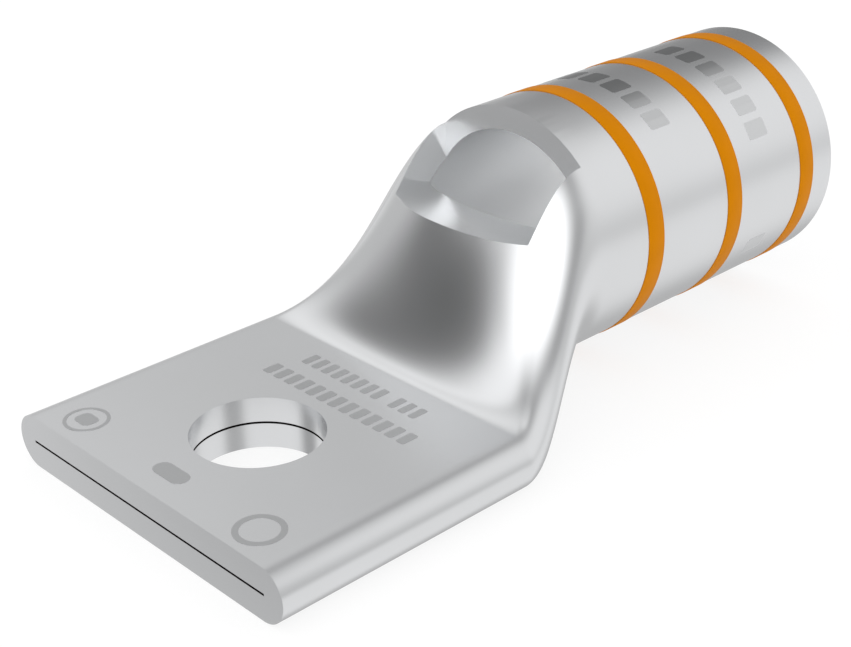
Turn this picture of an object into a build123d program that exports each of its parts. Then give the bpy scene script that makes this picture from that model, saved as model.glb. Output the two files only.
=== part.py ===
from build123d import *
import os
from math import cos, pi, sin

os.makedirs("parts", exist_ok=True)

# Cable lug for one stud, pressed from a single length of copper tube.
# Millimetres. The origin is where the stud's axis meets the underside of the pad.
# X runs from the stud towards the cable's way in, Y is across and Z is up.

# Flat pad
pad_thickness = 3.66
pad_width = 26.46
stud_radius = 4.3
stud_to_front = 8.93
stud_to_bend = 10.7

# Round barrel that takes the cable
barrel_radius = 8.9
barrel_wall = 1.65
barrel_underside = 1.29
barrel_length = 25.2
entry_chamfer = 0.4

# Bend between them. The tube's middle leaves the pad at once and climbs steeply,
# its sides leave later and more gently, and its width narrows in between.
bend_length = 11.8
middle_leave = 0.03
middle_meet = 0.33
side_leave = 0.56
side_meet = 0.35
narrow_leave = 0.18
narrow_meet = 0.41

# How far out from the middle the early climb reaches, and half the angle
# of the barrel's crown that the flat top turns into, outside and in the cavity
climb_reach = 2.3
crown_half_angle = 43.0
cavity_crown_half_angle = 86.0

# The two layers are pressed together in the pad, all but a thin seam. In the bend the
# cavity's middle stays low for longer than the outside and then climbs steeply.
seam_gap = 0.12
cavity_middle_leave = 0.3
cavity_middle_meet = 0.05

# Inspection window, cut level into the bend up to where the barrel starts
window_width = 12.4
window_floor_above_axis = 2.44

# Ink bands that tell the crimping die
band_count = 3
band_width = 1.58
band_pitch = 8.61
band_to_end = 2.34
band_ink = 0.05

# How finely the bend is described, and how far a cut runs past what it cuts
bend_stations = 9
run_points = 7
halvings = 40
overcut = 1.0

# Sizes that follow from the ones above
layer = (pad_thickness - seam_gap) / 2
seam_height = pad_thickness / 2
barrel_axis = barrel_underside + barrel_radius
bore_radius = barrel_radius - barrel_wall
bend_end = stud_to_bend + bend_length
barrel_end = bend_end + barrel_length
window_floor = barrel_axis + window_floor_above_axis

# The tube has two skins, each flat in the pad and round in the barrel.
# Outside, the pad's sides are full rounds. Inside, the seam ends in a sharp fold.
outer_skin = {
    "half_thickness": pad_thickness / 2,
    "half_width": pad_width / 2,
    "side_round": pad_thickness / 2,
    "crown": crown_half_angle * pi / 180,
    "radius": barrel_radius,
    "middle_leave": middle_leave,
    "middle_meet": middle_meet,
    "front": -stud_to_front,
    "back": barrel_end,
}
inner_skin = {
    "half_thickness": seam_gap / 2,
    "half_width": pad_width / 2 - layer,
    "side_round": 0,
    "crown": cavity_crown_half_angle * pi / 180,
    "radius": bore_radius,
    "middle_leave": cavity_middle_leave,
    "middle_meet": cavity_middle_meet,
    "front": -stud_to_front - overcut,
    "back": barrel_end + overcut,
}


# Share of a change that is done at a share of the bend's length.
# It is a cubic curve that starts and ends level, with a tangent length at each end.
def eased(share, leave, meet):
    low = 0.0
    high = 1.0
    for _ in range(halvings):
        t = (low + high) / 2
        along = 3 * leave * (1 - t) ** 2 * t + 3 * (1 - meet) * (1 - t) * t ** 2 + t ** 3
        if along < share:
            low = t
        else:
            high = t
    return 3 * (1 - low) * low ** 2 + low ** 3


# One point on the way from its place in the flat section to its place in the round one
def section_point(skin, share, flat_y, flat_z, angle):
    climb_side = 1.0
    if flat_z >= 0:
        climb_side = (abs(flat_y) / skin["half_width"]) ** climb_reach
    climb = climb_side * eased(share, side_leave, side_meet)
    climb += (1 - climb_side) * eased(share, skin["middle_leave"], skin["middle_meet"])
    narrow = eased(share, narrow_leave, narrow_meet)
    y = (1 - narrow) * flat_y + narrow * skin["radius"] * sin(angle)
    z = (1 - climb) * (seam_height + flat_z) + climb * (barrel_axis + skin["radius"] * cos(angle))
    return (stud_to_bend + bend_length * share, y, z)


# The section's top, right side, underside and left side, each as a run of points
def section_runs(skin, share):
    thick = skin["half_thickness"]
    bulge = skin["side_round"]
    flat = skin["half_width"] - bulge
    crown = skin["crown"]
    runs = []
    for side in range(4):
        points = []
        for step in range(run_points):
            s = step / (run_points - 1)
            if side == 0:
                place = (flat * (2 * s - 1), thick, crown * (2 * s - 1))
            elif side == 1:
                place = (flat + bulge * sin(pi * s), thick * cos(pi * s), crown + (pi - 2 * crown) * s)
            elif side == 2:
                place = (flat * (1 - 2 * s), -thick, pi + crown * (2 * s - 1))
            else:
                place = (-flat - bulge * sin(pi * s), -thick * cos(pi * s), pi + crown + (pi - 2 * crown) * s)
            points.append(section_point(skin, share, *place))
        runs.append(points)
    return runs


# A face across the tube: straight or half-round at the pad, arcs at the barrel, curves between
def section_face(skin, station):
    share = (1 - cos(pi * station / (bend_stations - 1))) / 2
    edges = []
    for side, points in enumerate(section_runs(skin, share)):
        straight = side % 2 == 0 or skin["side_round"] == 0
        if station == 0 and straight:
            edges.append(Edge.make_line(points[0], points[-1]))
        elif station in (0, bend_stations - 1):
            edges.append(Edge.make_three_point_arc(points[0], points[run_points // 2], points[-1]))
        else:
            edges.append(Edge.make_spline(points))
    return Face(Wire(edges))


# The solid inside one skin: pad, bend and barrel joined
def skin_solid(skin):
    faces = [section_face(skin, station) for station in range(bend_stations)]
    solid = loft(faces)
    solid += extrude(faces[0], amount=stud_to_bend - skin["front"], dir=(-1, 0, 0))
    solid += extrude(faces[-1], amount=skin["back"] - bend_end, dir=(1, 0, 0))
    return solid


# Hole for the stud, through both layers of the pad
def stud_hole():
    hole = Cylinder(stud_radius, pad_thickness + 2 * overcut, align=(Align.CENTER, Align.CENTER, Align.MIN))
    return Pos(0, 0, -overcut) * hole


# Window: all that stands above its floor, between its sides, over the bend
def window():
    height = barrel_axis + barrel_radius + overcut - window_floor
    block = Box(bend_length, window_width, height, align=(Align.MAX, Align.CENTER, Align.MIN))
    return Pos(bend_end, 0, window_floor) * block


# Chamfer that leads the cable into the bore
def cable_entry():
    cone = Cone(
        bore_radius, bore_radius + entry_chamfer, entry_chamfer,
        rotation=(0, 90, 0), align=(Align.CENTER, Align.CENTER, Align.MAX))
    return Pos(barrel_end, 0, barrel_axis) * cone


# A thin ring of ink on the barrel, counted from the cable's end
def ink_band(index):
    seat = Cylinder(
        barrel_radius, band_width,
        rotation=(0, 90, 0), align=(Align.CENTER, Align.CENTER, Align.MIN))
    ring = Cylinder(
        barrel_radius + band_ink, band_width,
        rotation=(0, 90, 0), align=(Align.CENTER, Align.CENTER, Align.MIN))
    start = barrel_end - band_to_end - band_width - index * band_pitch
    return Pos(start, 0, barrel_axis) * (ring - seat)


lug = skin_solid(outer_skin) - skin_solid(inner_skin) - stud_hole() - window() - cable_entry()
lug.label = "lug"
colour_bands = Compound(label="colour_bands", children=[ink_band(index) for index in range(band_count)])

for node in (lug, colour_bands):
    box = node.bounding_box()
    print(node.label, len(node.solids()), "solids, valid", node.is_valid, "volume", round(node.volume, 2))
    print("  from", [round(v, 3) for v in box.min], "to", [round(v, 3) for v in box.max])
    export_step(node, "parts/" + node.label + ".step")
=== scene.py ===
# %% [markdown]
# # A cable lug, tin plated, with printed bands
# A cable lug is the fitting at the end of a heavy battery or earth cable. It is made from
# one short length of copper tube. One end stays round and takes the bare cable, and the
# other is pressed flat and gets a hole for a stud. The whole tube is plated, here with tin,
# which gives it its soft silver grey. In this lesson the tube is drawn out ring by ring,
# pressed flat with the rule that the solid model uses, cut, plated and printed.

from math import cos, pi, radians, sin

import bpy
import numpy as np
from mathutils import Matrix


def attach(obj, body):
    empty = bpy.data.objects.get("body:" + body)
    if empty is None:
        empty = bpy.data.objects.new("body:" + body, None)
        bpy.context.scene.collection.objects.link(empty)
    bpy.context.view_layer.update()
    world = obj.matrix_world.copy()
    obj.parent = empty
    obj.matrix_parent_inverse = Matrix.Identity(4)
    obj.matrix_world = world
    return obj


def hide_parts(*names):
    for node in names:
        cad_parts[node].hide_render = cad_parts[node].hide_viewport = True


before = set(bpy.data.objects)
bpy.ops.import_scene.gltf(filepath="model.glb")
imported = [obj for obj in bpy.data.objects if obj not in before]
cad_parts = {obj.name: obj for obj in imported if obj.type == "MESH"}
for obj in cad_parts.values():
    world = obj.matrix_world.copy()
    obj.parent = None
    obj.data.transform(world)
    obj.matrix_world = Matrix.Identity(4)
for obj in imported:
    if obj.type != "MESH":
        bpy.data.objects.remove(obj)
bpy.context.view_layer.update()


# %% [markdown]
# ## Sizes
# Blender works in metres here, but a lug is drawn in millimetres, so every size below is in
# millimetres and one factor turns it into metres. X runs from the stud hole towards the
# cable, Y is across and Z is up. The pad's underside lies on Z = 0.

# %% Sizes of the tube, the pad and the bend
MM = 0.001
TOLERANCE = 0.01

PAD_THICKNESS = 3.66
PAD_WIDTH = 26.46
STUD_RADIUS = 4.3
STUD_TO_FRONT = 8.93
STUD_TO_BEND = 10.7

BARREL_RADIUS = 8.9
BARREL_WALL = 1.65
BARREL_AXIS = 10.19
BARREL_LENGTH = 25.2
ENTRY_CHAMFER = 0.4
BEND_LENGTH = 11.8
BEND_END = STUD_TO_BEND + BEND_LENGTH
BARREL_END = BEND_END + BARREL_LENGTH
BORE_RADIUS = BARREL_RADIUS - BARREL_WALL

# The solid model's seam is 0.12 mm wide. Here it is a little wider and its fold lies 0.12 mm
# further out, so that it shows as the dark line that it is in the photograph.
SEAM_GAP = 0.155
SEAM_FOLD = 0.1
SEAM_HEIGHT = PAD_THICKNESS / 2
PAD_LAYER = (PAD_THICKNESS - SEAM_GAP) / 2

WINDOW_WIDTH = 12.4
WINDOW_HEIGHT = 10.0
WINDOW_FLOOR = BARREL_AXIS + 2.44

print("overall length, mm:", round(STUD_TO_FRONT + BARREL_END, 2))


# %% [markdown]
# ## The camera
# The photograph looks down on the pad from the front left. The camera was fitted to it and
# stands about 100 mm from the stud hole, with a lens of 70 mm. It is made first, so that
# every later render can be laid over the photograph.

# %% Camera
camera_data = bpy.data.cameras.new("camera")
camera = bpy.data.objects.new("camera", camera_data)
bpy.context.collection.objects.link(camera)
bpy.context.scene.camera = camera
camera_data.sensor_width = 36
camera_data.lens = 69.606
camera_data.clip_start = 0.005
camera_data.clip_end = 20

# The place is in millimetres, and the three angles are in radians.
CAMERA_PLACE = (-53.006, -71.268, 55.089)
CAMERA_HEADING = 0.8131
CAMERA_DIP = 0.4637
CAMERA_ROLL = -0.0131
turn = Matrix.Rotation(CAMERA_HEADING - pi / 2, 4, "Z")
tilt = Matrix.Rotation(pi / 2 - CAMERA_DIP, 4, "X")
roll = Matrix.Rotation(CAMERA_ROLL, 4, "Z")
camera.matrix_world = Matrix.Translation([v * MM for v in CAMERA_PLACE]) @ turn @ tilt @ roll
print("camera at, mm:", CAMERA_PLACE)


# %% [markdown]
# ## Helpers
# Operators act on whatever is selected, and the solid model comes in selected. So the first
# helper deselects everything and picks one piece, and the others work on that piece alone.

# %% Helpers for picking, joining and cutting
def pick(piece):
    bpy.ops.object.select_all(action="DESELECT")
    piece.select_set(True)
    bpy.context.view_layer.objects.active = piece


def points_of(piece):
    flat = np.empty(len(piece.data.vertices) * 3)
    piece.data.vertices.foreach_get("co", flat)
    return flat.reshape(-1, 3) / MM


def move_points(piece, points):
    piece.data.vertices.foreach_set("co", (points * MM).ravel())
    piece.data.update()


def settle(piece):
    pick(piece)
    bpy.ops.object.transform_apply(location=True, rotation=True, scale=True)


def apply_modifiers(piece):
    pick(piece)
    for modifier in list(piece.modifiers):
        bpy.ops.object.modifier_apply(modifier=modifier.name)


def name_piece(piece, name):
    piece.name = name
    piece.data.name = name


def join_as(pieces, name):
    pick(pieces[0])
    for piece in pieces[1:]:
        piece.select_set(True)
    bpy.ops.object.join()
    name_piece(pieces[0], name)
    print(name, len(pieces[0].data.polygons), "faces")
    return pieces[0]


def cut_away(piece, cutter):
    modifier = piece.modifiers.new("cut", "BOOLEAN")
    modifier.operation = "DIFFERENCE"
    modifier.solver = "EXACT"
    modifier.object = cutter
    apply_modifiers(piece)
    bpy.data.objects.remove(cutter, do_unlink=True)


# %% [markdown]
# ## Drawing the tube
# A tube is a ring of metal pulled out along its axis, and it is made that way here. A circle
# is turned upright and extruded along the outside, station by station, turned in over the
# mouth, and brought back along the bore, which gives one closed wall of clean four-sided
# faces. Where the bend will be, the stations lie close together, and on the plain barrel and
# the flat pad a few are enough, because nothing curves there along the length. Even faces
# matter on metal: a reflection shows every uneven one.

# %% Stations along the two skins
QUARTER_POINTS = 64
RING_POINTS = 4 * QUARTER_POINTS
PAD_STEPS = 4
BEND_STEPS = 72
BARREL_STEPS = 12
# How much closer together the bend's stations lie at its two ends: 0 is even, 1 touching.
CROWDING = 0.6


def stations_to(back):
    stations = [
        -STUD_TO_FRONT + (STUD_TO_BEND + STUD_TO_FRONT) * step / PAD_STEPS
        for step in range(PAD_STEPS)]
    for step in range(BEND_STEPS + 1):
        share = step / BEND_STEPS
        share -= sin(2 * pi * share) / (2 * pi) * CROWDING
        stations.append(STUD_TO_BEND + BEND_LENGTH * share)
    stations += [
        BEND_END + (back - BEND_END) * step / BARREL_STEPS
        for step in range(1, BARREL_STEPS + 1)]
    return stations


outside = stations_to(BARREL_END)
bore = stations_to(BARREL_END - ENTRY_CHAMFER)
print("stations outside and in the bore:", len(outside), len(bore))


# %% Draw the wall: out along the outside, back along the bore
SATIN, MATT_AND_PAINTED_LIGHT, SEAM_SHADE, MILLED_AND_PAINTED_LIGHT = range(4)
FINISHES = (
    "electroplated_tin_satin", "electroplated_tin_matt_painted_light", "painted_seam_shade",
    "electroplated_tin_milled_painted_light")


def pull_ring(place, to_x, to_radius):
    from_x, from_radius = place
    bpy.ops.mesh.extrude_region_move(TRANSFORM_OT_translate={"value": ((to_x - from_x) * MM, 0, 0)})
    if to_radius != from_radius:
        grow = to_radius / from_radius
        bpy.ops.transform.resize(
            value=(1, grow, grow), center_override=(to_x * MM, 0, BARREL_AXIS * MM))
    return to_x, to_radius


bpy.ops.object.select_all(action="DESELECT")
bpy.ops.mesh.primitive_circle_add(
    vertices=RING_POINTS, radius=BARREL_RADIUS * MM,
    location=(-STUD_TO_FRONT * MM, 0, BARREL_AXIS * MM), rotation=(pi / 2, 0, pi / 2))
lug = bpy.context.object
name_piece(lug, "tinned_lug")
for finish in FINISHES:
    lug.data.materials.append(bpy.data.materials.new(finish))
settle(lug)
bpy.ops.object.mode_set(mode="EDIT")
bpy.ops.mesh.select_all(action="SELECT")
place = (-STUD_TO_FRONT, BARREL_RADIUS)
for x in outside[1:]:
    place = pull_ring(place, x, BARREL_RADIUS)
place = pull_ring(place, BARREL_END, BORE_RADIUS + ENTRY_CHAMFER)
for x in reversed(bore):
    place = pull_ring(place, x, BORE_RADIUS)
pull_ring(place, -STUD_TO_FRONT, BARREL_RADIUS)
bpy.ops.mesh.select_all(action="SELECT")
bpy.ops.mesh.remove_doubles(threshold=TOLERANCE * MM)
bpy.ops.mesh.normals_make_consistent(inside=False)
bpy.ops.object.mode_set(mode="OBJECT")
# Bore faces inside the pad get the seam's painted shade, the rest of the bore the matt tin with
# painted light.
for face in lug.data.polygons:
    x, y, z = face.center / MM
    in_bore = np.hypot(y, z - BARREL_AXIS) < BORE_RADIUS + TOLERANCE
    face.material_index = (SEAM_SHADE if x < STUD_TO_BEND else MATT_AND_PAINTED_LIGHT) if in_bore else SATIN
print("closed tube:", len(lug.data.polygons), "faces")


# %% [markdown]
# ## Pressing the pad
# The press closes the front of the tube between two flat dies. In the bend behind them the
# metal finds its own way from flat to round: the tube's middle leaves the pad early and
# climbs steeply, its sides stay down longer, and its width draws in as it goes. A lattice or
# proportional editing could give something like it, but the window and the highlights show
# that curve very plainly, so each point is moved by the rule that shapes the solid model,
# with one pair of its numbers changed.

# %% The press: from the round section to the flat one
# Each skin has the thickness, width and side rounding of its flat section, and the angle of
# the round section, to each side of its crown, that becomes the flat's upper face. A climb is
# a Bezier curve, level at both ends, and its two numbers are the lengths of its handles as
# shares of the bend. CLIMB_REACH says how far from the middle the middle's climb still counts.
# The outer skin's middle has longer handles than in the solid model, (0.2, 0.465) instead of
# (0.03, 0.33), because the photographed bend is rounder at its foot. The two surfaces are at
# most 0.54 mm apart.
OUTER_SKIN = {
    "half_thickness": PAD_THICKNESS / 2, "half_width": PAD_WIDTH / 2,
    "side_round": PAD_THICKNESS / 2, "crown": radians(43),
    "middle_climb": (0.2, 0.465)}
INNER_SKIN = {
    "half_thickness": SEAM_GAP / 2, "half_width": PAD_WIDTH / 2 - PAD_LAYER + SEAM_FOLD,
    "side_round": 0, "crown": radians(86),
    "middle_climb": (0.3, 0.05)}
SIDE_CLIMB = (0.56, 0.35)
NARROWING = (0.18, 0.41)
CLIMB_REACH = 2.3
HALVINGS = 40


def eased(share, tangents):
    leave, meet = tangents
    low = np.zeros_like(share)
    high = np.ones_like(share)
    for _ in range(HALVINGS):
        t = (low + high) / 2
        along = 3 * leave * (1 - t) ** 2 * t + 3 * (1 - meet) * (1 - t) * t ** 2 + t ** 3
        before = along < share
        low = np.where(before, t, low)
        high = np.where(before, high, t)
    return 3 * (1 - low) * low ** 2 + low ** 3


def pressed(points, skin):
    x, y, z = points.T
    radius = np.hypot(y, z - BARREL_AXIS)
    turned = np.arctan2(y, z - BARREL_AXIS) / (pi / 2) + 0.5
    quarters = np.round(turned * QUARTER_POINTS) / QUARTER_POINTS % 4
    side = np.floor(quarters).astype(int)
    s = quarters - side
    thick, bulge, crown = skin["half_thickness"], skin["side_round"], skin["crown"]
    flat = skin["half_width"] - bulge
    down = np.cos(pi * s) if bulge else 1 - 2 * s
    flat_y = np.choose(side, [
        flat * (2 * s - 1), flat + bulge * np.sin(pi * s),
        flat * (1 - 2 * s), -flat - bulge * np.sin(pi * s)])
    flat_z = thick * np.choose(side, [np.ones_like(s), down, -np.ones_like(s), -down])
    angle = np.choose(side, [
        crown * (2 * s - 1), crown + (pi - 2 * crown) * s,
        pi + crown * (2 * s - 1), pi + crown + (pi - 2 * crown) * s])
    share = np.clip((x - STUD_TO_BEND) / BEND_LENGTH, 0, 1)
    climb_side = np.where(flat_z >= 0, (np.abs(flat_y) / skin["half_width"]) ** CLIMB_REACH, 1.0)
    climb = climb_side * eased(share, SIDE_CLIMB)
    climb += (1 - climb_side) * eased(share, skin["middle_climb"])
    narrow = eased(share, NARROWING)
    new_y = (1 - narrow) * flat_y + narrow * radius * np.sin(angle)
    new_z = (1 - climb) * (SEAM_HEIGHT + flat_z) + climb * (BARREL_AXIS + radius * np.cos(angle))
    return np.stack([x, new_y, new_z], axis=1)


points = points_of(lug)
is_outer = np.hypot(points[:, 1], points[:, 2] - BARREL_AXIS) > BARREL_RADIUS - BARREL_WALL / 2
points[is_outer] = pressed(points[is_outer], OUTER_SKIN)
points[~is_outer] = pressed(points[~is_outer], INNER_SKIN)
move_points(lug, points)
print("pressed pad, mm:", round(float(np.ptp(points[:, 1])), 2), "wide")


# %% [markdown]
# ## Stud hole and window
# Both are cut after the pressing. The hole goes through both layers of the pad, and the
# window is cut level into the bend, up to where the barrel starts. It lets the fitter see
# that the cable is all the way in. Boolean cuts leave crisp edges.

# %% Cut the stud hole
STUD_POINTS = 192
bpy.ops.object.select_all(action="DESELECT")
bpy.ops.mesh.primitive_cylinder_add(
    vertices=STUD_POINTS, radius=STUD_RADIUS * MM, depth=4 * PAD_THICKNESS * MM,
    location=(0, 0, 0))
cut_away(lug, bpy.context.object)

# %% Cut the window
# A face's normal has a part along Z or Y of more than FACING where it lies level or upright.
FACING = 0.99
bpy.ops.object.select_all(action="DESELECT")
bpy.ops.mesh.primitive_cube_add(size=1)
cutter = bpy.context.object
cutter.scale = (BEND_LENGTH * MM, WINDOW_WIDTH * MM, WINDOW_HEIGHT * MM)
cutter.location = ((BEND_END - BEND_LENGTH / 2) * MM, 0, (WINDOW_FLOOR + WINDOW_HEIGHT / 2) * MM)
settle(cutter)
cut_away(lug, cutter)

# The window's level and upright cut faces get the milled tin with its painted light.
for face in lug.data.polygons:
    x, y, z = face.center / MM
    level = z > WINDOW_FLOOR - TOLERANCE and face.normal.z > FACING
    at_side = z > WINDOW_FLOOR and abs(abs(y) - WINDOW_WIDTH / 2) < TOLERANCE
    upright = at_side and abs(face.normal.y) > FACING
    if x < BEND_END and (level or upright):
        face.material_index = MILLED_AND_PAINTED_LIGHT
pick(lug)
bpy.ops.object.shade_smooth_by_angle(angle=radians(20))
print("cut lug:", len(lug.data.polygons), "faces")


# %% [markdown]
# ## Tin plating
# The plating is taken as satin tin, a little warmer than steel and much duller than chrome.
# It mirrors its surroundings as soft bands of light and dark, so nearly all that the eye
# sees is reflection. A metal in Blender is Metallic 1 with the default IOR, and its Base
# Color is the share of light that it throws back. A faint cloudiness and a very fine grain,
# far under a millimetre, keep the surface from looking too even.

# %% Helpers for materials
# A Mix node has one factor, and its other sockets differ for numbers and for colours.
MIX_FACTOR = 0
MIX_NUMBER_A, MIX_NUMBER_B, MIX_NUMBER = 2, 3, 0
MIX_COLOUR_A, MIX_COLOUR_B, MIX_COLOUR = 6, 7, 2
COARSE_DETAIL = 2.0
FINE_DETAIL = 3.0


def linear(hex_colour):
    values = [int(hex_colour[i:i + 2], 16) / 255 for i in (1, 3, 5)]
    return [v / 12.92 if v <= 0.04045 else ((v + 0.055) / 1.055) ** 2.4 for v in values] + [1.0]


def add_node(tree, kind, settings=None, inputs=None, links=None):
    node = tree.nodes.new(kind)
    for name, value in (settings or {}).items():
        setattr(node, name, value)
    for name, value in (inputs or {}).items():
        node.inputs[name].default_value = value
    for name, source in (links or {}).items():
        tree.links.new(source, node.inputs[name])
    return node


def new_material(name):
    material = bpy.data.materials.get(name) or bpy.data.materials.new(name)
    material.use_nodes = True
    tree = material.node_tree
    tree.nodes.clear()
    return material, tree


def object_place(tree):
    return add_node(tree, "ShaderNodeTexCoord").outputs["Object"]


def noise(tree, place, size, detail=COARSE_DETAIL):
    return add_node(
        tree, "ShaderNodeTexNoise", inputs={"Scale": 1 / (size * MM), "Detail": detail},
        links={"Vector": place}).outputs["Fac"]


def between(tree, value, limits):
    return add_node(
        tree, "ShaderNodeMapRange", inputs={"To Min": limits[0], "To Max": limits[1]},
        links={"Value": value}).outputs["Result"]


def mixed_colour(tree, factor, colour_a, colour_b):
    return add_node(
        tree, "ShaderNodeMix", settings={"data_type": "RGBA"},
        inputs={MIX_COLOUR_A: linear(colour_a), MIX_COLOUR_B: linear(colour_b)},
        links={MIX_FACTOR: factor}).outputs[MIX_COLOUR]


def bumped(tree, height, strength, depth):
    return add_node(
        tree, "ShaderNodeBump", inputs={"Strength": strength, "Distance": depth * MM},
        links={"Height": height}).outputs["Normal"]


def finish_with(tree, inputs, links):
    shader = add_node(tree, "ShaderNodeBsdfPrincipled", inputs=inputs, links=links)
    add_node(tree, "ShaderNodeOutputMaterial", links={"Surface": shader.outputs["BSDF"]})


def speckled(name, colour, speckle_size, roughness, metallic=0.0, specular=0.5):
    material, tree = new_material(name)
    speckles = noise(tree, object_place(tree), speckle_size)
    finish_with(
        tree,
        {"Base Color": linear(colour), "Metallic": metallic, "Specular IOR Level": specular},
        {"Roughness": between(tree, speckles, roughness)})
    return material


# %% Plated tin, satin
# The roughness varies very little, because a wider range left faint contour lines in the
# denoised render.
TIN_COLOUR = "#E1E2E4"
TIN_SHADE = "#DDDEDF"
TIN_ROUGHNESS = (0.25, 0.272)
CLOUD_SIZE = 6.0
GRAIN_SIZE = 0.12
GRAIN_DEPTH = 0.0012
GRAIN_STRENGTH = 0.15

_, tree = new_material(FINISHES[SATIN])
place = object_place(tree)
clouds = noise(tree, place, CLOUD_SIZE)
grain = noise(tree, place, GRAIN_SIZE, FINE_DETAIL)
finish_with(
    tree, {"Metallic": 1.0},
    {"Base Color": mixed_colour(tree, clouds, TIN_COLOUR, TIN_SHADE),
     "Roughness": between(tree, clouds, TIN_ROUGHNESS),
     "Normal": bumped(tree, grain, GRAIN_STRENGTH, GRAIN_DEPTH)})

# %% Plated tin, matt, with painted light, inside the bore
# Through the window the bore looks paler and softer than the outside. It is taken as the same
# tin left matt. Its pale colour is painted light. Its Metallic is under 1 because that
# matched the photograph's tone inside, not because tin is less than a metal.
speckled(
    FINISHES[MATT_AND_PAINTED_LIGHT], colour="#FAFBFC", speckle_size=0.3, roughness=(0.28, 0.34), metallic=0.7)

# %% Plated tin, with painted light, on the window's cut faces
# The window's floor and sides look brighter and sharper than the tube. They are taken as
# smoother where they were cut, and their pale colour is painted light. Colour, Metallic and
# roughness were matched to the photograph.
speckled(
    FINISHES[MILLED_AND_PAINTED_LIGHT], colour="#F3F4F5", speckle_size=0.3, roughness=(0.18, 0.24), metallic=0.85)

# %% Painted shade, in the seam
# The seam shows as a thin black line. What makes it black can't be seen: it may be bare,
# oxidised copper or only the depth of the gap. Its faces are painted near black, which is
# painted shade and keeps the line dark from every side.
speckled(
    FINISHES[SEAM_SHADE], colour="#1B1715", speckle_size=0.2, roughness=(0.8, 0.95), specular=0.1)

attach(lug, "root")
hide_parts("lug")
print("plated:", lug.name)


# %% [markdown]
# ## Colour bands
# Three rings of orange ink tell the fitter which crimping die to use. They are taken as a few
# hundredths of a millimetre thick, with a satin surface. The orange gets darker towards the
# crown as the tin does, so the ink is made part metallic. That is a match to the photograph,
# not a known property of the ink.

# %% Three rings of ink
# Each ring reaches a little into the barrel, so that no gap is left under it.
BAND_COUNT = 3
BAND_WIDTH = 1.58
BAND_PITCH = 8.61
BAND_TO_END = 2.34
BAND_INK = 0.05
BAND_SINK = 0.01
BAND_EDGE = 0.02

rings = []
for index in range(BAND_COUNT):
    start = BARREL_END - BAND_TO_END - BAND_WIDTH - index * BAND_PITCH
    bpy.ops.object.select_all(action="DESELECT")
    bpy.ops.mesh.primitive_cylinder_add(
        vertices=RING_POINTS, radius=(BARREL_RADIUS + BAND_INK) * MM, depth=BAND_WIDTH * MM,
        end_fill_type="NOTHING", rotation=(0, pi / 2, 0),
        location=((start + BAND_WIDTH / 2) * MM, 0, BARREL_AXIS * MM))
    ring = bpy.context.object
    settle(ring)
    thickness = ring.modifiers.new("ink", "SOLIDIFY")
    thickness.thickness = (BAND_INK + BAND_SINK) * MM
    thickness.offset = -1
    edge = ring.modifiers.new("edge", "BEVEL")
    edge.width = BAND_EDGE * MM
    edge.segments = 2
    edge.limit_method = "ANGLE"
    apply_modifiers(ring)
    rings.append(ring)

bands = join_as(rings, "ink_bands")
bpy.ops.object.shade_smooth_by_angle(angle=radians(30))

# %% Orange marking ink
INK_ORANGE = "#E08B00"
INK_ORANGE_THIN = "#D58403"
BLOT_SIZE = 1.5
BLOT_DEPTH = 0.004
BLOT_STRENGTH = 0.2

ink, tree = new_material("orange_marking_ink")
blots = noise(tree, object_place(tree), BLOT_SIZE, FINE_DETAIL)
finish_with(
    tree, {"Metallic": 0.3, "Roughness": 0.5, "Specular IOR Level": 0.03},
    {"Base Color": mixed_colour(tree, blots, INK_ORANGE, INK_ORANGE_THIN),
     "Normal": bumped(tree, blots, BLOT_STRENGTH, BLOT_DEPTH)})

bands.data.materials.append(ink)
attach(bands, "root")
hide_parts("colour_bands")


# %% [markdown]
# ## Flat fields
# Rows of small plain fields run across the pad and between the bands, with two rings and two
# bars by the front edge. They are duller than the tin round them. Each is a flat plate a
# hundredth of a millimetre thick: a bevelled square or an inset circle, extruded. They could
# be drawn in the material instead, but as geometry they stay crisp and go with the mesh.

# %% Helpers for flat fields
FIELD_DEPTH = 0.012
CORNER_STEPS = 3
ROUND_POINTS = 64


def raise_field():
    bpy.ops.mesh.select_all(action="SELECT")
    bpy.ops.mesh.extrude_region_move(TRANSFORM_OT_translate={"value": (0, 0, FIELD_DEPTH * MM)})
    bpy.ops.mesh.select_all(action="SELECT")
    bpy.ops.mesh.normals_make_consistent(inside=False)
    bpy.ops.object.mode_set(mode="OBJECT")
    return bpy.context.object


def bar_field(x, y, size_x, size_y, corner, base=PAD_THICKNESS):
    bpy.ops.object.select_all(action="DESELECT")
    bpy.ops.mesh.primitive_plane_add(size=1)
    bar = bpy.context.object
    bar.scale = (size_x * MM, size_y * MM, 1)
    bar.location = (x * MM, y * MM, base * MM)
    settle(bar)
    bpy.ops.object.mode_set(mode="EDIT")
    bpy.ops.mesh.select_all(action="SELECT")
    bpy.ops.mesh.bevel(offset=corner * MM, segments=CORNER_STEPS, affect="VERTICES")
    return raise_field()


def ring_field(x, y, radius, stroke):
    bpy.ops.object.select_all(action="DESELECT")
    bpy.ops.mesh.primitive_circle_add(
        vertices=ROUND_POINTS, radius=radius * MM, fill_type="NGON",
        location=(x * MM, y * MM, PAD_THICKNESS * MM))
    settle(bpy.context.object)
    bpy.ops.object.mode_set(mode="EDIT")
    bpy.ops.mesh.select_all(action="SELECT")
    bpy.ops.mesh.inset(thickness=stroke * MM)
    bpy.ops.mesh.delete(type="FACE")
    return raise_field()


# %% Fields on the pad
# Each row: its place along X, where it starts across the pad, how many fields, their pitch.
PAD_ROWS = [(5.95, -7.7, 13, 1.08), (8.55, -5.85, 3, 0.95), (8.55, -2.3, 8, 0.97)]
PAD_FIELD_LENGTH = 1.35
PAD_FIELD_GAP = 0.38
PAD_FIELD_CORNER = 0.12

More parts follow.
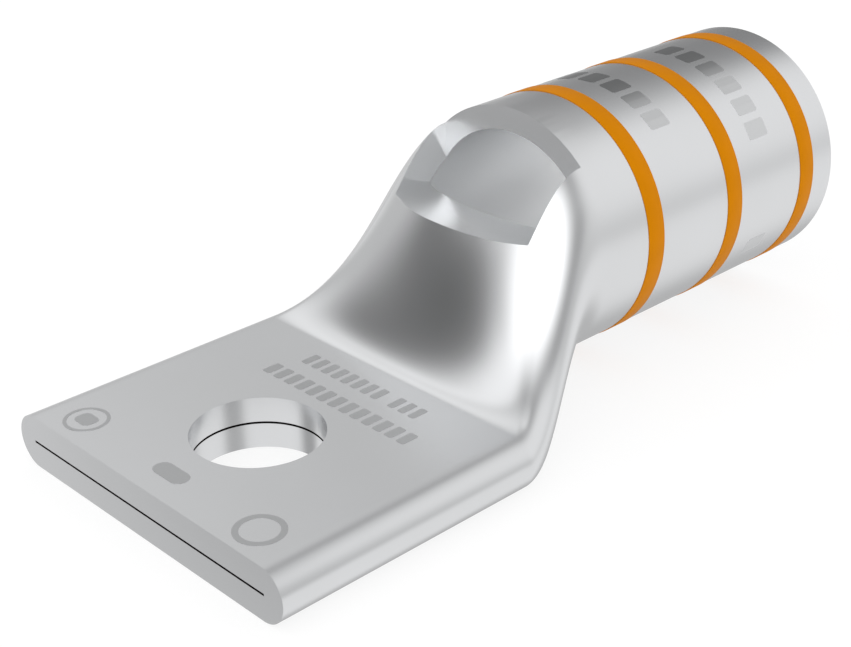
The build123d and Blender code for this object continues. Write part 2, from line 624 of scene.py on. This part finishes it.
fields = []
for x, first, count, pitch in PAD_ROWS:
    for index in range(count):
        y = first + (index + 0.5) * pitch
        fields.append(bar_field(x, y, PAD_FIELD_LENGTH, pitch - PAD_FIELD_GAP, PAD_FIELD_CORNER))
fields += [
    ring_field(x=-6.7, y=8.8, radius=1.5, stroke=0.24),
    bar_field(x=-6.7, y=8.8, size_x=1.2, size_y=1.5, corner=0.4),
    ring_field(x=-6.75, y=-8.65, radius=1.6, stroke=0.4),
    bar_field(x=-6.7, y=-0.2, size_x=1.3, size_y=2.9, corner=0.6)]
pad_print = join_as(fields, "pad_print")

# %% Fields on the barrel
# They are laid out flat, as arc lengths from the crown, and then wrapped round. Each row: its
# place along X, the angle where it starts, how many fields, their pitch in degrees, and their
# length along X.
BARREL_ROWS = [
    (31.2, 42, 8, 12.7, 2.0), (39.8, 62.7, 6, 12.1, 2.1), (39.8, 121, 1, 12.1, 2.1)]
BARREL_FIELD_GAP = 0.55
BARREL_FIELD_CORNER = 0.2

fields = []
for x, first, count, pitch, length in BARREL_ROWS:
    for index in range(count):
        angle = radians(first - (index + 0.5) * pitch)
        width = radians(pitch) * BARREL_RADIUS - BARREL_FIELD_GAP
        fields.append(bar_field(
            x, -angle * BARREL_RADIUS, length, width, BARREL_FIELD_CORNER, base=0))
barrel_print = join_as(fields, "barrel_print")
pick(barrel_print)
bpy.ops.object.mode_set(mode="EDIT")
bpy.ops.mesh.select_all(action="SELECT")
bpy.ops.mesh.subdivide(number_cuts=1)
bpy.ops.object.mode_set(mode="OBJECT")
x, arc, lift = points_of(barrel_print).T
reach = BARREL_RADIUS + lift
around = arc / BARREL_RADIUS
move_points(barrel_print, np.stack(
    [x, reach * np.sin(around), BARREL_AXIS + reach * np.cos(around)], axis=1))

# %% Dulled tin, on the pad
pad_print.data.materials.append(speckled(
    "etched_tin_dull", colour="#C2C3C4", speckle_size=0.1, roughness=(0.4, 0.55), metallic=1.0))
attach(pad_print, "root")

# %% Dulled tin, with painted shade towards the crown of the barrel
# That place on the barrel is near black along the crown and pale grey down the side. The dark
# crown is painted shade, which no light in this scene gives, so the colour follows the height
# on the barrel, from 0.86 of the radius above the axis to the crown.
CROWN_SHADE_COLOUR = "#8C8D8E"
SIDE_COLOUR = "#DADBDC"
FADING_SPECKLE = 0.1
FADING_ROUGHNESS = (0.4, 0.5)
CROWN_SHADE_START = 0.86

crown_shaded_print, tree = new_material("dulled_tin_painted_crown_shade")
place = object_place(tree)
parts = add_node(tree, "ShaderNodeSeparateXYZ", links={"Vector": place})
crown = add_node(
    tree, "ShaderNodeMapRange", settings={"interpolation_type": "SMOOTHSTEP"},
    inputs={"From Min": (BARREL_AXIS + CROWN_SHADE_START * BARREL_RADIUS) * MM,
            "From Max": (BARREL_AXIS + BARREL_RADIUS) * MM},
    links={"Value": parts.outputs["Z"]})
finish_with(
    tree, {"Metallic": 1.0},
    {"Base Color": mixed_colour(tree, crown.outputs["Result"], SIDE_COLOUR, CROWN_SHADE_COLOUR),
     "Roughness": between(tree, noise(tree, place, FADING_SPECKLE), FADING_ROUGHNESS)})
barrel_print.data.materials.append(crown_shaded_print)
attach(barrel_print, "root")


# %% [markdown]
# ## Floor and light
# The lug stands on white paper under a soft studio dome. To the camera the paper and the
# backdrop are white, and the paper keeps a faint shadow. Polished metal shows its
# surroundings, and under an even white dome it looks flat. The photographer's room isn't
# known, so it is stood in for by soft round zones, each lying over the ones before it. Their
# places and brightness were fitted by calculation until the reflections on the lug matched
# the photograph's, and their names only say roughly what each could be. Only mirror-like
# rays see the zones. The camera, and the light that falls on matt surfaces, get plain white,
# so that a matt colour looks about as it is written.

# %% White paper
# The paper is hidden from mirror-like rays, because the dome's zones stand in for it there. To
# matt surfaces it is PAPER_WHITE. To the camera it is PAPER_SHADOW with PAPER_LIFT added as a
# glow, so that it comes out white in the light and only a little darker in the shadow.
WHITE = (1, 1, 1, 1)
PAPER_SIZE = 3000
PAPER_DROP = 0.05
PAPER_WHITE = 0.85
PAPER_SHADOW = 0.25
PAPER_LIFT = 0.78

bpy.ops.object.select_all(action="DESELECT")
bpy.ops.mesh.primitive_plane_add(size=PAPER_SIZE * MM, location=(0, 0, -PAPER_DROP * MM))
floor = bpy.context.object
floor.name = "white_paper"
floor.visible_glossy = False

paper, tree = new_material("white_paper")
rays = add_node(tree, "ShaderNodeLightPath")
tone = add_node(
    tree, "ShaderNodeMix", settings={"data_type": "FLOAT"},
    inputs={MIX_NUMBER_A: PAPER_WHITE, MIX_NUMBER_B: PAPER_SHADOW},
    links={MIX_FACTOR: rays.outputs["Is Camera Ray"]})
matt = add_node(tree, "ShaderNodeBsdfDiffuse", links={"Color": tone.outputs[MIX_NUMBER]})
straight = add_node(
    tree, "ShaderNodeMath", settings={"operation": "MAXIMUM"},
    links={0: rays.outputs["Is Camera Ray"], 1: rays.outputs["Is Glossy Ray"]})
seen = add_node(
    tree, "ShaderNodeMath", settings={"operation": "MAXIMUM"},
    links={0: straight.outputs["Value"], 1: rays.outputs["Is Transmission Ray"]})
lift = add_node(
    tree, "ShaderNodeMath", settings={"operation": "MULTIPLY"}, inputs={1: PAPER_LIFT},
    links={0: seen.outputs["Value"]})
glow = add_node(
    tree, "ShaderNodeEmission", inputs={"Color": WHITE},
    links={"Strength": lift.outputs["Value"]})
both = add_node(
    tree, "ShaderNodeAddShader", links={0: matt.outputs["BSDF"], 1: glow.outputs["Emission"]})
add_node(tree, "ShaderNodeOutputMaterial", links={"Surface": both.outputs["Shader"]})
floor.data.materials.append(paper)

# %% Studio dome
# Each zone: heading and height of its middle, its half-angle where it is full and where it
# has faded out, in degrees, and its brightness, where 1 is white.
DOME_ZONES = [
    ("overhead", 77, 88, 12, 19, 1.40),
    ("left dim side", -155, 47, 3, 90, 0.30),
    ("near bright side", -28, 26, 13, 45, 0.97),
    ("right side", 166, 16, 41, 50, 1.21),
    ("far dim corner", 20, 12, 22, 29, 0.25),
    ("far dim corner, upper part", 17, 57, 2, 17, 0.45),
    ("flag, left part", -160, -7, 46, 52, 0.04),
    ("flag, right part", 167, -7, 34, 42, 0.05),
    ("paper", 0, -90, 76, 92, 0.94),
    ("soft box", -138, 31, 1, 54, 2.08),
    ("far side", 94, 45, 1, 48, 1.05),
    ("paper in shade", 137, -27, 8, 22, 0.38),
    ("flag, far part", 131, 17, 1, 25, 0.12),
    ("paper under the barrel", 39, -40, 14, 51, 0.53),
    ("near dim strip", -77, 22, 8, 17, 0.44),
    ("paper, near dim part", -87, -31, 6, 24, 0.48),
    ("far dim corner, lower part", 41, 4, 4, 12, 0.30),
]
DOME_BASE = 0.596

world = bpy.data.worlds.new("studio_dome")
bpy.context.scene.world = world
world.use_nodes = True
tree = world.node_tree
tree.nodes.clear()
direction = add_node(tree, "ShaderNodeTexCoord").outputs["Generated"]
base = add_node(tree, "ShaderNodeValue", settings={"label": "base"})
base.outputs["Value"].default_value = DOME_BASE
strength = base.outputs["Value"]
for name, heading, height, full, faded, brightness in DOME_ZONES:
    middle = (
        cos(radians(height)) * cos(radians(heading)),
        cos(radians(height)) * sin(radians(heading)),
        sin(radians(height)))
    closeness = add_node(
        tree, "ShaderNodeVectorMath", settings={"operation": "DOT_PRODUCT"}, inputs={1: middle},
        links={0: direction})
    angle = add_node(
        tree, "ShaderNodeMath", settings={"operation": "ARCCOSINE"},
        links={0: closeness.outputs["Value"]})
    inside = add_node(
        tree, "ShaderNodeMapRange", settings={"interpolation_type": "SMOOTHERSTEP"},
        inputs={"From Min": radians(full), "From Max": radians(faded), "To Min": 1, "To Max": 0},
        links={"Value": angle.outputs["Value"]})
    zone = add_node(
        tree, "ShaderNodeMix", settings={"data_type": "FLOAT", "label": name},
        inputs={MIX_NUMBER_B: brightness},
        links={MIX_FACTOR: inside.outputs["Result"], MIX_NUMBER_A: strength})
    strength = zone.outputs[MIX_NUMBER]
dome = add_node(
    tree, "ShaderNodeBackground", inputs={"Color": WHITE}, links={"Strength": strength})
backdrop = add_node(
    tree, "ShaderNodeBackground", inputs={"Color": WHITE, "Strength": 1.0})
rays = add_node(tree, "ShaderNodeLightPath")
plain = add_node(
    tree, "ShaderNodeMath", settings={"operation": "MAXIMUM"},
    links={0: rays.outputs["Is Camera Ray"], 1: rays.outputs["Is Diffuse Ray"]})
view = add_node(
    tree, "ShaderNodeMixShader",
    links={0: plain.outputs["Value"], 1: dome.outputs["Background"],
           2: backdrop.outputs["Background"]})
add_node(tree, "ShaderNodeOutputWorld", links={"Surface": view.outputs["Shader"]})
bpy.context.scene.view_settings.view_transform = "Standard"
print("dome zones:", len(DOME_ZONES))
